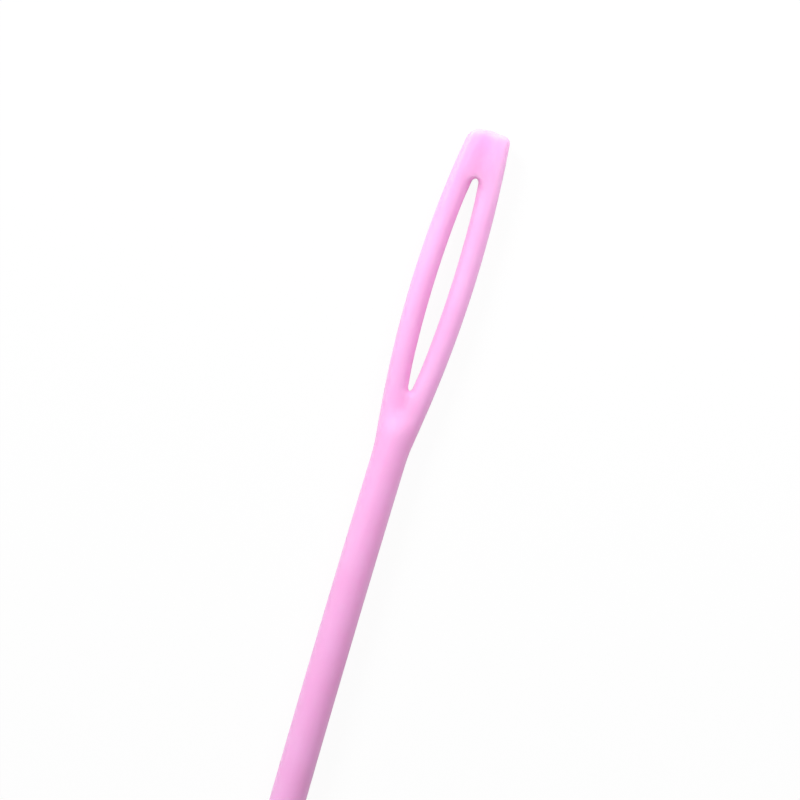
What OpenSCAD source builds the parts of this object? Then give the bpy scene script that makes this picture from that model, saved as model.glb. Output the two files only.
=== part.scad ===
// A plastic yarn needle: a blunt round shaft that forks into two bowed rails with a long eye between them.
// The real needle is one moulding. Its named stretches meet face to face at flat joints across the needle,
// so the slim rails round the eye stay simple solids and the eye stays open.
// The needle lies on a table: +X runs from the point to the eye, +Y across the head, +Z up through the eye.

/* [Needle] */
// Whole length, from the blunt point to the end of the crown
needle_length = 90; // [75:1:110]
// Diameter of the round shaft
shaft_d = 3; // [2.6:0.1:3.6]

/* [Point] */
// Length over which the shaft draws in to the point
taper_length = 24; // [12:1:34]
// Diameter of the blunt round tip
tip_d = 1.2; // [0.8:0.1:1.6]

/* [Head] */
// Width across both rails at the waist, where the head is widest
head_width = 5.25; // [4.9:0.05:6]
// Thickness of each round rail, and so of the whole head
rail_d = 1.85; // [1.75:0.05:2]
// Distance from the fork, where the head starts to widen, to the waist
fork_to_waist = 15; // [14:0.25:18]
// Distance from the waist to the end of the crown
waist_to_end = 13.25; // [12.5:0.25:15]

/* [Eye] */
// Distance from the eye's foot to the waist
foot_to_waist = 10; // [8:0.05:10.6]
// Distance from the waist to the eye's top
waist_to_top = 9; // [7:0.05:10]

/* [Web and grooves] */
// Thickness of the web that joins the rails below and above the eye
web_t = 1.55; // [1.5:0.05:1.65]
// Radius of the wide groove along both faces of the crown
groove_r = 1.8; // [1.5:0.1:2.2]
// Radius of the gutter that leads up to the eye on both faces of the root
gutter_r = 1.2; // [0.9:0.05:1.4]
// Length of the gutter, from its round end in the shaft to the eye's foot
gutter_length = 3.2; // [2.5:0.1:4]
// Thickness left between the two faces' grooves, and between their gutters
groove_floor_t = 1.35; // [1.2:0.05:1.45]

/* [Root] */
// Distance from the fork to the lip, where the round shaft starts to run out
run_out_start = 1.6; // [1:0.1:2]
// Amount by which the shaft's radius draws in from the fork to the lip
lip_draft = 0.08; // [0.04:0.02:0.2]
// Length over which the round shaft runs out between the rails
run_out_length = 1.6; // [1.2:0.1:2.2]

/* [Crown] */
// Radius of the crown's two corners, seen from above
corner_r = 0.7; // [0.3:0.05:0.9]
// Radius of the crown's end, seen from the side
end_edge_r = 0.45; // [0.2:0.05:0.6]

/* [Hidden] */
round_fn = 96;
arc_fn = 720;
$fn = round_fn;
plastic_pink = [0.96, 0.67, 0.89];

shaft_r = shaft_d / 2;
tip_r = tip_d / 2;
rail_r = rail_d / 2;
// Small length by which one face clears another that it would otherwise only just touch
ease = 0.02;
// Length of round shaft that stays on the root below the fork, and of rail past each end of the eye
stub = 0.5;
// Length of each rail that starts inside the shaft, below the fork
run_in = 0.25;

// Places along the needle, from the tip
waist_x = needle_length - waist_to_end;
fork_x = waist_x - fork_to_waist;
foot_x = waist_x - foot_to_waist;
top_x = waist_x + waist_to_top;
root_from_x = fork_x - stub;
rails_from_x = foot_x + stub;
rails_to_x = top_x - stub;

// The head's outer sides are arcs that leave the shaft's sides at the fork and peak at the waist
head_rise = (head_width - shaft_d) / 2;
outer_arc_r = (pow(fork_to_waist, 2) + pow(head_rise, 2)) / (2 * head_rise);
rail_arc_r = outer_arc_r - rail_r;
arc_centre_y = head_width / 2 - outer_arc_r;

// Half the head's width at a place along the needle
function half_width(x) = arc_centre_y + sqrt(pow(outer_arc_r, 2) - pow(x - waist_x, 2));

// The point's side is an arc that starts along the shaft and runs into the round tip where their slopes agree
side_arc_r = (pow(shaft_r, 2) - pow(tip_r, 2) + pow(taper_length - tip_r, 2)) / (2 * (shaft_r - tip_r));
joint_angle = -asin((taper_length - tip_r) / (side_arc_r - tip_r));
tip_steps = 12;
side_steps = 24;

// Points along an arc, without its first one
function arc(centre, r, from_angle, to_angle, steps) = [
    for (i = [1:steps])
        let (angle = from_angle + (to_angle - from_angle) * i / steps)
            centre + r * [cos(angle), sin(angle)]
];

// Sets a shape that lies on the axis, with its tip at zero, down on the table
module lay_down() {
    color(plastic_pink) translate([-needle_length / 2, 0, shaft_r]) children();
}

// Keeps the stretch of a shape between two places along the needle
module stretch(from_x, to_x) {
    intersection() {
        children();
        translate([from_x, -head_width, -head_width]) cube([to_x - from_x, 2 * head_width, 2 * head_width]);
    }
}

// A round bar along the needle, straight or conical
module bar(from_x, length, r_from, r_to) {
    translate([from_x, 0, 0]) rotate([0, 90, 0]) cylinder(h = length, r1 = r_from, r2 = r_to);
}

// One bowed rail, round in section, from just inside the shaft to past the crown's end; side is 1 or -1
module rail(side) {
    back_angle = asin((fork_to_waist + run_in) / rail_arc_r);
    fore_angle = asin((waist_to_end + stub) / rail_arc_r);
    mirror([0, side < 0 ? 1 : 0, 0])
        translate([waist_x, arc_centre_y, 0])
            rotate([0, 0, 90 - fore_angle])
                rotate_extrude(angle = back_angle + fore_angle, $fn = arc_fn)
                    translate([rail_arc_r, 0]) circle(r = rail_r, $fn = round_fn);
}

module both_rails() {
    for (side = [1, -1]) rail(side);
}

// The space between the rails' centre lines, as seen from above
module between_rails() {
    intersection_for(side = [1, -1])
        translate([waist_x, side * arc_centre_y, -web_t])
            cylinder(h = 2 * web_t, r = rail_arc_r, $fn = arc_fn);
}

// The web below or above the eye: a plate with a half-round edge towards the eye
module web(plain_x, eye_x) {
    towards = eye_x > plain_x ? 1 : -1;
    edge_x = eye_x - towards * web_t / 2;
    intersection() {
        between_rails();
        rotate([90, 0, 0]) linear_extrude(height = head_width, center = true) union() {
            translate([min(plain_x, edge_x), -web_t / 2]) square([abs(edge_x - plain_x), web_t]);
            translate([edge_x, 0]) circle(d = web_t);
        }
    }
}

// The cutters of a groove of radius r on both faces, with a round end at from_x
module grooves(from_x, length, r) {
    for (face = [1, -1]) translate([0, 0, face * (groove_floor_t / 2 + r)]) {
        translate([from_x, 0, 0]) sphere(r = r);
        bar(from_x, length, r, r);
    }
}

// What a round corner leaves of a square one, for a corner at the origin that points to +X and +Y
module corner_waste(r) {
    difference() {
        translate([-r, -r]) square(2 * r);
        translate([-r, -r]) circle(r = r);
    }
}

// The blunt point, which pushes between stitches and doesn't split the yarn
module point() {
    lay_down() rotate([0, 90, 0]) rotate_extrude() polygon(concat(
        [[0, taper_length], [0, 0]],
        arc([0, tip_r], tip_r, -90, joint_angle, tip_steps),
        arc([shaft_r - side_arc_r, taper_length], side_arc_r, joint_angle, 0, side_steps)
    ));
}

// The straight round shaft between the point and the head
module shaft() {
    lay_down() bar(taper_length, root_from_x - taper_length, shaft_r, shaft_r);
}

// The root of the eye: the shaft runs out between the two rails, and a gutter leads up to the eye
module eye_root() {
    lip_x = fork_x + run_out_start;
    lip_r = shaft_r - lip_draft;
    lay_down() stretch(root_from_x, rails_from_x) difference() {
        union() {
            bar(root_from_x - stub, 2 * stub, shaft_r, shaft_r);
            bar(fork_x, run_out_start, shaft_r, lip_r);
            bar(lip_x, run_out_length, lip_r, web_t / 2 - ease);
            both_rails();
            web(lip_x, foot_x);
        }
        grooves(foot_x - gutter_length + gutter_r, gutter_length, gutter_r);
    }
}

// The two rails that bow out round the eye
module eye_rail_left() {
    lay_down() stretch(rails_from_x, rails_to_x) rail(1);
}

module eye_rail_right() {
    lay_down() stretch(rails_from_x, rails_to_x) rail(-1);
}

// The crown, which closes the eye: the rails and web again, with a blunt end and a groove on both faces
module crown() {
    corner_y = half_width(needle_length - corner_r) + ease;
    lay_down() stretch(rails_to_x, needle_length) difference() {
        union() {
            both_rails();
            web(needle_length + stub, top_x);
        }
        grooves(rails_to_x, needle_length - rails_to_x + stub, groove_r);
        for (side = [1, -1]) mirror([0, side < 0 ? 1 : 0, 0])
            translate([needle_length, corner_y, 0])
                linear_extrude(height = 2 * rail_d, center = true) corner_waste(corner_r);
        for (face = [1, -1]) mirror([0, 0, face < 0 ? 1 : 0])
            translate([needle_length, 0, rail_r + ease])
                rotate([90, 0, 0])
                    linear_extrude(height = 2 * head_width, center = true) corner_waste(end_edge_r);
    }
}

point();
shaft();
eye_root();
eye_rail_left();
eye_rail_right();
crown();
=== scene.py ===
import bmesh
import bpy
import numpy as np
from mathutils import Matrix, Vector


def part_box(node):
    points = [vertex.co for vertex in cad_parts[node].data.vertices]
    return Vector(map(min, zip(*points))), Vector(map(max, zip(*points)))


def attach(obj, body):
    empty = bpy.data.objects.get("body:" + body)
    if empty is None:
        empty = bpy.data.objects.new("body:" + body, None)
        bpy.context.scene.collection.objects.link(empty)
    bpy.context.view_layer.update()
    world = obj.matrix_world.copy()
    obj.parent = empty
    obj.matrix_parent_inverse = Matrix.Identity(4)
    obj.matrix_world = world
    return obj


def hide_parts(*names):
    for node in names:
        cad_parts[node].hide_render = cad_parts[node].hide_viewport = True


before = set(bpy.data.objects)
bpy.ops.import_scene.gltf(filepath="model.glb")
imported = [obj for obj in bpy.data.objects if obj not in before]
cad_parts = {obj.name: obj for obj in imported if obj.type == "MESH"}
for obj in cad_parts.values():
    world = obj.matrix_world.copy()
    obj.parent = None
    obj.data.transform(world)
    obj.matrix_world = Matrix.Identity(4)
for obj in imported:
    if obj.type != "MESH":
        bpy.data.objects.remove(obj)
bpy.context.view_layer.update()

# The needle's outline. It is one injection moulding in satin pink plastic: a blunt point, a round shaft
# and a flat head whose two round rails bow out round the eye and close again in the crown. All lengths here
# are in millimetres, and places along the needle count from its tip. The mesh is turned to metres at the end.
mm = 0.001
tip_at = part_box("point")[0][0]
needle_length = (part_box("crown")[1][0] - tip_at) / mm
taper_length = (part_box("point")[1][0] - tip_at) / mm
shaft_r = (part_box("shaft")[1][2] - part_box("shaft")[0][2]) / 2 / mm
axis_height = shaft_r
rail_low, rail_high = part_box("eye_rail_left")
rail_r = (rail_high[2] - rail_low[2]) / 2 / mm
head_half_width = rail_high[1] / mm

# The CAD model's root takes in this much of the shaft below the fork, and its root and crown take in as much
# of the rails at both ends of the eye.
stub = 0.5
fork = (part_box("eye_root")[0][0] - tip_at) / mm + stub
eye_foot = (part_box("eye_root")[1][0] - tip_at) / mm - stub
eye_top = (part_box("crown")[0][0] - tip_at) / mm + stub
waist_to_end = 13.25
waist = needle_length - waist_to_end
tip_r = 0.6

outer_rise = head_half_width - shaft_r
outer_arc_r = ((waist - fork) ** 2 + outer_rise**2) / (2 * outer_rise)


def rail_centre(x):
    """Distance of a rail's centre line from the needle's middle: an arc, concentric with the head's outer
    side, that peaks at the waist."""
    arc_r = outer_arc_r - rail_r
    return head_half_width - rail_r - arc_r + np.sqrt(arc_r**2 - (x - waist) ** 2)


def shaft_radius_squared(x):
    """The square of the round shaft's radius. The point's side is an arc that starts along the shaft and runs
    into the round tip where their slopes agree."""
    arc_r = (shaft_r**2 - tip_r**2 + (taper_length - tip_r) ** 2) / (2 * (shaft_r - tip_r))
    joint = tip_r - tip_r * (taper_length - tip_r) / (arc_r - tip_r)
    tip = tip_r**2 - (x - tip_r) ** 2
    run_up = np.clip(taper_length - x, 0, taper_length)
    side = (shaft_r - arc_r + np.sqrt(arc_r**2 - run_up**2)) ** 2
    return np.where(x < joint, tip, side)


# The needle's thickness. The mould opens up and down through the eye, so the two faces are alike and the
# whole form is one field over the plan: the square of half the thickness, which is zero along the outline
# and below zero outside it.
def bell(distance, width):
    """A bell curve: e to the power of minus the squared distance, measured in widths."""
    return np.exp(-((distance / width) ** 2))


def smooth_max(a, b, k):
    """The greater of two fields, with the corner between them rounded: where they differ by less than k, it
    grows by the square of what is left of k, over four k."""
    return np.maximum(a, b) + np.maximum(k - np.abs(a - b), 0) ** 2 / (4 * k)


crown_power = 6
flatten_length = 6
flatten_from = eye_top - 4
fuller = 0.03
fuller_ends = 0.06
fuller_length = 1.5


def rail_field(x, y):
    """A rail: its radius squared, less the squared distance from its centre line where it is round. Towards
    the crown's end the power grows on the outer side, so that the rail's top turns flatter there. On the
    eye's side the rail is a little fuller, and most at both ends of the eye, along bell curves."""
    aside = y - rail_centre(x)
    flatness = np.clip((x - flatten_from) / flatten_length, 0, 1) * (aside > 0)
    power = 2 + (crown_power - 2) * flatness
    ends = bell(x - eye_foot, fuller_length) + bell(x - eye_top, fuller_length)
    half_width = rail_r + np.where(aside < 0, fuller + fuller_ends * ends, 0)
    return rail_r**2 * (1 - np.abs(aside / half_width) ** power)


root_widening = 0.6
root_half = 0.68
root_from = fork + 0.85
root_length = 2.5
gutter_depth = 0.1
gutter_half_width = 0.5
gutter_from = fork + 1.9
gutter_length = 0.9
least_width = 1e-9


def body_field(x, y):
    """The round shaft: its radius squared, times one less the square of y as a share of half its width. Past
    the fork it grows wider with the head and thinner along a bell curve, and a gutter opens along the middle
    of each face towards the eye."""
    shaft_radius = np.sqrt(shaft_radius_squared(x))
    widening = np.where(x > fork, rail_centre(x) + rail_r - shaft_r, 0)
    width = shaft_radius + root_widening * widening
    fall = bell(np.clip(x - root_from, 0, None), root_length)
    half = shaft_radius * (root_half + (shaft_r - root_half) * fall) / shaft_r
    gutter_opening = 1 - bell(np.clip(x - gutter_from, 0, None), gutter_length)
    gutter = gutter_depth * gutter_opening * bell(y, gutter_half_width)
    side = 1 - (y / np.maximum(width, least_width)) ** 2
    return np.where(side > 0, (half * np.sqrt(np.abs(side)) - gutter) ** 2, half**2 * side)


web_half = 0.77
web_dish = 0.155
web_side = 0.5
foot_edge = 0.6
foot_corner_r = 0.6
top_edge = 0.08
top_corner_r = 0.18
reach_limit = 4


def web_field(x, y):
    """The web above the eye, and the root's body below it. The web is dished: its half thickness grows along
    half a cosine from the middle to the rails' centre lines. Past those lines both fall with the squared
    distance, the body more and more towards the eye. From a straight line across the needle to a parabola,
    which is the eye's end, each thins down as a quarter of an ellipse."""
    foot_reach = (x - eye_foot + foot_edge) / (foot_edge + y**2 / (2 * foot_corner_r))
    top_reach = (eye_top + top_edge - x) / (top_edge + y**2 / (2 * top_corner_r))
    reach = np.clip(np.where(x < waist, foot_reach, top_reach), 0, reach_limit)
    outside = np.clip(y - rail_centre(x), 0, None) / web_side
    narrowing = np.clip((x - gutter_from) / (eye_foot - gutter_from), 0, 1) ** 2
    dish = (1 - np.cos(np.pi * np.clip(y / rail_centre(x), 0, 1))) / 2
    dished = (web_half + web_dish * dish) ** 2
    web = np.where(x < waist, body_field(x, y) - narrowing * outside**2, dished - outside**2)
    return np.where(web > 0, web * (1 - reach**2), web)


rails_from = fork - 1
no_rail = -9
root_blend = 0.5
crown_blend = 0.1


def thickness_field(x, y):
    """The square of half the needle's thickness: the rails, joined to the body and the web between them."""
    rails = np.where(x > rails_from, rail_field(x, y), no_rail)
    return smooth_max(rails, web_field(x, y), np.where(x < waist, root_blend, crown_blend))


halvings = 48


def edge_towards(x, empty):
    """Where the plastic ends at each place x, on the way across from a rail's centre line to an empty place:
    the stretch between a solid place and an empty one is halved over and over."""
    inside = np.clip(rail_centre(x), 0, None)
    outside = np.full_like(x, empty)
    for _ in range(halvings):
        middle = (inside + outside) / 2
        solid = thickness_field(x, middle) > 0
        inside = np.where(solid, middle, inside)
        outside = np.where(solid, outside, middle)
    return (inside + outside) / 2


# The needle's skin: a quarter of it, above and to the left, worked out as rows across the needle and then
# mirrored. Rows crowd together where the surface turns, at the tip, at both ends of the eye and at the
# crown's end.
tip_rows = 16
point_rows = 50
shaft_rows = 60
root_rows = 80
eye_end_rows = 18
rail_rows = 90
crown_rows = 36
eye_lead = 1.5
end_round = 0.5
end_bulge = 0.12
rows_close_up = fork - 3
crown_from = needle_length - end_bulge - end_round


def turn(count):
    """Angles of a quarter turn, from 0 to 90 degrees."""
    return np.linspace(0, np.pi / 2, count)


stations = np.concatenate([
    tip_r * (1 - np.cos(turn(tip_rows))),
    np.linspace(tip_r, taper_length, point_rows),
    np.linspace(taper_length, rows_close_up, shaft_rows),
    np.linspace(rows_close_up, eye_foot - foot_edge, root_rows),
    eye_foot - foot_edge * (1 - np.sin(turn(eye_end_rows))),
    eye_foot + eye_lead * (1 - np.cos(turn(eye_end_rows))),
    np.linspace(eye_foot + eye_lead, eye_top - eye_lead, rail_rows),
    eye_top - eye_lead * (1 - np.cos(turn(eye_end_rows))),
    eye_top + top_edge * (1 - np.sin(turn(eye_end_rows))),
    np.linspace(eye_top + top_edge, crown_from, crown_rows),
])
stations = np.unique(np.round(stations, 6))

# A row is open where the field is below zero in the middle. Its first column lies on the eye's edge, and the
# rows next to the opening come down to the needle's middle plane too, so that the skin closes there.
beyond_head = 4.0
opening = (stations > fork) & (thickness_field(stations, np.zeros_like(stations)) < 0)
eye_ends = ~opening & (np.roll(opening, 1) | np.roll(opening, -1))
outer = edge_towards(stations, beyond_head)
inner = np.where(opening, edge_towards(stations, 0), 0)

# Columns go from the middle, or the eye's edge, over the top and down to the outer side. They crowd near the
# mould's parting line, where the quarter comes down to the needle's middle plane. The first row is the tip.
even_columns = 36
parting_degrees = [1.2, 2.6, 177.4, 178.8]
sweep = np.sort(np.concatenate([np.linspace(0, np.pi, even_columns), np.radians(parting_degrees)]))
across = (1 - np.cos(sweep)) / 2
x = stations[:, None]
y = inner[:, None] + (outer - inner)[:, None] * across
thinnest = 0.0001
z = np.sqrt(np.clip(thickness_field(x, y), thinnest**2, None))
z[:, -1] = 0
z[opening | eye_ends, 0] = 0
z[0] = 0
rows_x = np.broadcast_to(x, y.shape)

# The crown's end rolls over to a blunt face, first over its rounded edge and then across the slightly domed
# end, whose rows shrink to a point.
corner_r = 0.72
end_edge_r = 0.35
edge_rows = 14
face_rows = 12
roll = turn(edge_rows)[1:, None]
end_x = crown_from + end_round * np.sin(roll)
end_outer = edge_towards(end_x[:, 0], beyond_head)[:, None]
end_y = end_outer * across
end_z = np.sqrt(np.clip(thickness_field(end_x, end_y), 0, None))
end_z[:, -1] = 0
end_y = end_y * (1 - corner_r / end_outer * (1 - np.cos(roll)))
end_z = end_z * (1 - end_edge_r / rail_r * (1 - np.cos(roll)))
shrink = np.linspace(1, 0, face_rows)[1:, None]
face_y = end_y[-1] * shrink
face_z = end_z[-1] * shrink
face_x = crown_from + end_round + end_bulge * (1 - shrink**2) ** 2 + 0 * face_y
rows_x = np.concatenate([rows_x, np.broadcast_to(end_x, end_y.shape), face_x])
y = np.concatenate([y, end_y, face_y])
z = np.concatenate([z, end_z, face_z])

quarter = np.stack([rows_x, y, z], axis=-1)
rows, columns = y.shape
corner = np.arange(rows * columns).reshape(rows, columns)
quads = np.stack([corner[:-1, :-1], corner[1:, :-1], corner[1:, 1:], corner[:-1, 1:]], axis=-1)
quads = quads.reshape(-1, 4)
mirrors = [(1, side, face) for side in (1, -1) for face in (1, -1)]
points = np.concatenate([(quarter * mirror).reshape(-1, 3) for mirror in mirrors])
faces = np.concatenate([quads + n * rows * columns for n in range(len(mirrors))])

# The four quarters are welded along their seams, and faces that shrank to a line or a point are taken away.
weld_distance = 1e-5
shrunk_length = 1e-6
mesh = bpy.data.meshes.new("yarn_needle")
mesh.from_pydata(points, [], faces)
skin = bmesh.new()
skin.from_mesh(mesh)
bmesh.ops.remove_doubles(skin, verts=skin.verts, dist=weld_distance)
bmesh.ops.dissolve_degenerate(skin, edges=skin.edges, dist=shrunk_length)
bmesh.ops.recalc_face_normals(skin, faces=skin.faces)
skin.to_mesh(mesh)
skin.free()

# The moulding's small departures from its drawing: a fine ridge along the parting line, a worn left corner
# on the crown, cut back along a slanting line with a soft start, and a gentle bow that the plastic took on
# as it cooled.
ridge_height = 0.012
ridge_half_width = 0.05
worn_line = needle_length + 1.1
worn_softness = 0.2
bow_r = 1790.0

form = np.empty(len(mesh.vertices) * 3)
mesh.vertices.foreach_get("co", form)
form = form.reshape(-1, 3)
outward = np.empty(len(mesh.vertices) * 3, np.float32)
mesh.vertex_normals.foreach_get("vector", outward)
outward = outward.reshape(-1, 3)
form += outward * (ridge_height * bell(form[:, 2], ridge_half_width))[:, None]
past = form[:, 0] + form[:, 1] - worn_line
past = (past + np.sqrt(past**2 + worn_softness**2)) / 2
form[:, :2] -= np.where(form[:, 0] > eye_top, past, 0)[:, None] / 2
half_length = needle_length / 2
form[:, 1] += half_length**2 / (4 * bow_r) - (form[:, 0] - half_length) ** 2 / (2 * bow_r)
form = form * mm + (tip_at, 0, axis_height * mm)
mesh.vertices.foreach_set("co", form.ravel())
mesh.polygons.foreach_set("use_smooth", np.ones(len(mesh.polygons), bool))
mesh.update()


def put(name, data):
    """Puts a mesh, a camera or a lamp into the scene, as an object of that name."""
    thing = bpy.data.objects.new(name, data)
    bpy.context.scene.collection.objects.link(thing)
    return thing


needle = put("yarn_needle", mesh)


# The needle's plastic: pale pink, satin from the mould's blasted faces, and slightly translucent, so that
# light goes some way in and the thin rails look lighter than the shaft. Faint flow marks run along it.
class Value:
    """A shader socket in a Python expression: each operator adds the Math node that works it out."""

    def __init__(self, shader, socket):
        self.shader = shader
        self.socket = socket

    def combine(self, operation, other):
        """One Math node over this value and another."""
        return self.shader.add("ShaderNodeMath", dict(operation=operation), self, other)

    def __add__(self, other):
        return self.combine("ADD", other)

    def __mul__(self, other):
        return self.combine("MULTIPLY", other)

    __radd__ = __add__
    __rmul__ = __mul__


class Shader:
    """The node tree of a material or of the room, with one method that adds a node."""

    def __init__(self, owner):
        owner.use_nodes = True
        self.tree = owner.node_tree
        self.tree.nodes.clear()

    def add(self, kind, settings=None, *inputs, out=0, **named):
        """Adds a node of a kind. Its settings come first, then the values or links of its sockets, in order
        or by name. A ramp's stops are a setting. Gives back one of its outputs."""
        node = self.tree.nodes.new(kind)
        for key, value in (settings or {}).items():
            if key == "stops":
                for stop, (position, colour) in zip(node.color_ramp.elements, value):
                    stop.position = position
                    stop.color = colour
            else:
                setattr(node, key, value)
        for key, value in [*enumerate(inputs), *((k.replace("_", " "), v) for k, v in named.items())]:
            if isinstance(value, Value):
                self.tree.links.new(value.socket, node.inputs[key])
            else:
                node.inputs[key].default_value = value
        return Value(self, node.outputs[out]) if len(node.outputs) else None


deep_pink = (0.95, 0.41, 0.72, 1)
light_pink = (0.98, 0.455, 0.765, 1)
cloud_share = 0.7
flow_share = 0.3
satin = 0.46
flow_satin = 0.1
grain_satin = 0.06
flow_relief = 0.6

pink_plastic = bpy.data.materials.new("pink_plastic")
plastic = Shader(pink_plastic)
place = plastic.add("ShaderNodeTexCoord", out="Object")
along = plastic.add("ShaderNodeMapping", Vector=place, Scale=(0.12, 1, 1))
cloud = plastic.add("ShaderNodeTexNoise", Vector=place, Scale=260.0, Detail=3.0)
flow = plastic.add("ShaderNodeTexNoise", Vector=along, Scale=1900.0, Detail=4.0, Roughness=0.6)
grain = plastic.add("ShaderNodeTexNoise", Vector=place, Scale=9000.0, Detail=2.0)
paleness = cloud * cloud_share + flow * flow_share
colour = plastic.add("ShaderNodeValToRGB", dict(stops=[(0.3, deep_pink), (0.7, light_pink)]), paleness)
rough = satin + flow * flow_satin + grain * grain_satin
relief = flow * flow_relief + grain
bump = plastic.add("ShaderNodeBump", Strength=0.12, Distance=0.02 * mm, Height=relief)
surface = plastic.add("ShaderNodeBsdfPrincipled", Base_Color=colour, Roughness=rough, Normal=bump, IOR=1.5,
                      Subsurface_Weight=0.9, Subsurface_Radius=(1.0, 0.85, 0.95), Subsurface_Scale=3 * mm)
plastic.add("ShaderNodeOutputMaterial", Surface=surface)
mesh.materials.append(pink_plastic)
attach(needle, "root")
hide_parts("point", "shaft", "eye_root", "eye_rail_left", "eye_rail_right", "crown")

# The floor is a plain white table top, measured in metres. To the camera, in reflections and through clear
# things it is nearly all white, and keeps only the needle's soft shadow.
floor_half = 3.0
floor_white = 0.94
white = (1, 1, 1, 1)
pale_paint = (0.9, 0.9, 0.9, 1)
floor_corners = [(a * floor_half, b * floor_half, 0) for a, b in ((-1, -1), (1, -1), (1, 1), (-1, 1))]
floor_mesh = bpy.data.meshes.new("floor")
floor_mesh.from_pydata(floor_corners, [], [(0, 1, 2, 3)])
floor = put("floor", floor_mesh)
white_table = bpy.data.materials.new("white_table")
table = Shader(white_table)
seen = table.add("ShaderNodeLightPath", out="Is Camera Ray")
reflected = table.add("ShaderNodeLightPath", out="Is Glossy Ray")
through = table.add("ShaderNodeLightPath", out="Is Transmission Ray")
shown = (seen + reflected + through) * floor_white
paint = table.add("ShaderNodeBsdfDiffuse", Color=pale_paint)
glow = table.add("ShaderNodeEmission", Color=white, Strength=1.0)
top = table.add("ShaderNodeMixShader", None, shown, paint, glow)
table.add("ShaderNodeOutputMaterial", Surface=top)
floor_mesh.materials.append(white_table)

# The camera looks straight down on the head, turned so that the needle leans as it does in the photograph.
# Its aim is measured from the tip, and the width of the picture in the needle's own plane.
lean = np.radians(16.465)
picture_width = 68.2 * mm
aim_x = tip_at + 65.8 * mm
aim_y = 0.70 * mm
picture_up = Vector((np.cos(lean), np.sin(lean), 0))
picture_right = Vector((np.sin(lean), -np.cos(lean), 0))
camera_data = bpy.data.cameras.new("camera")
camera_data.lens = 150.0
camera_data.sensor_width = 36.0
camera_data.clip_start = 0.01
camera_data.clip_end = 20.0
camera = put("camera", camera_data)
height = picture_width * camera_data.lens / camera_data.sensor_width + axis_height * mm
turned = Matrix((picture_right, picture_up, Vector((0, 0, 1)))).transposed().to_4x4()
camera.matrix_world = Matrix.Translation((aim_x, aim_y, height)) @ turned
bpy.context.scene.camera = camera

# The light is a studio's: a soft lamp beyond the crown on the left, a weak one on the right, and pale walls
# all round, which the camera sees as white.
crown_end = Vector((tip_at + needle_length * mm, 0, axis_height * mm))


def soft_lamp(name, right, up, above, distance, size, power):
    """A square lamp that faces the crown's end from a distance. Its direction is the sum of three parts: to
    the picture's right, to its top, and up from the table."""
    light = bpy.data.lights.new(name, "AREA")
    light.size = size
    light.energy = power
    towards = (picture_right * right + picture_up * up + Vector((0, 0, above))).normalized()
    facing = towards.to_track_quat("Z", "Y").to_matrix().to_4x4()
    put(name, light).matrix_world = Matrix.Translation(crown_end + towards * distance) @ facing


soft_lamp("key", right=-0.65, up=0.75, above=0.8, distance=0.3, size=0.12, power=0.8)
soft_lamp("side", right=0.6, up=0.6, above=1.0, distance=0.12, size=0.08, power=0.105)

wall_light = 0.25
room = bpy.data.worlds.new("room")
bpy.context.scene.world = room
walls = Shader(room)
seen = walls.add("ShaderNodeLightPath", out="Is Camera Ray")
brightness = wall_light + seen * (1 - wall_light)
background = walls.add("ShaderNodeBackground", Color=white, Strength=brightness)
walls.add("ShaderNodeOutputWorld", Surface=background)

bpy.context.scene.view_settings.view_transform = "Standard"
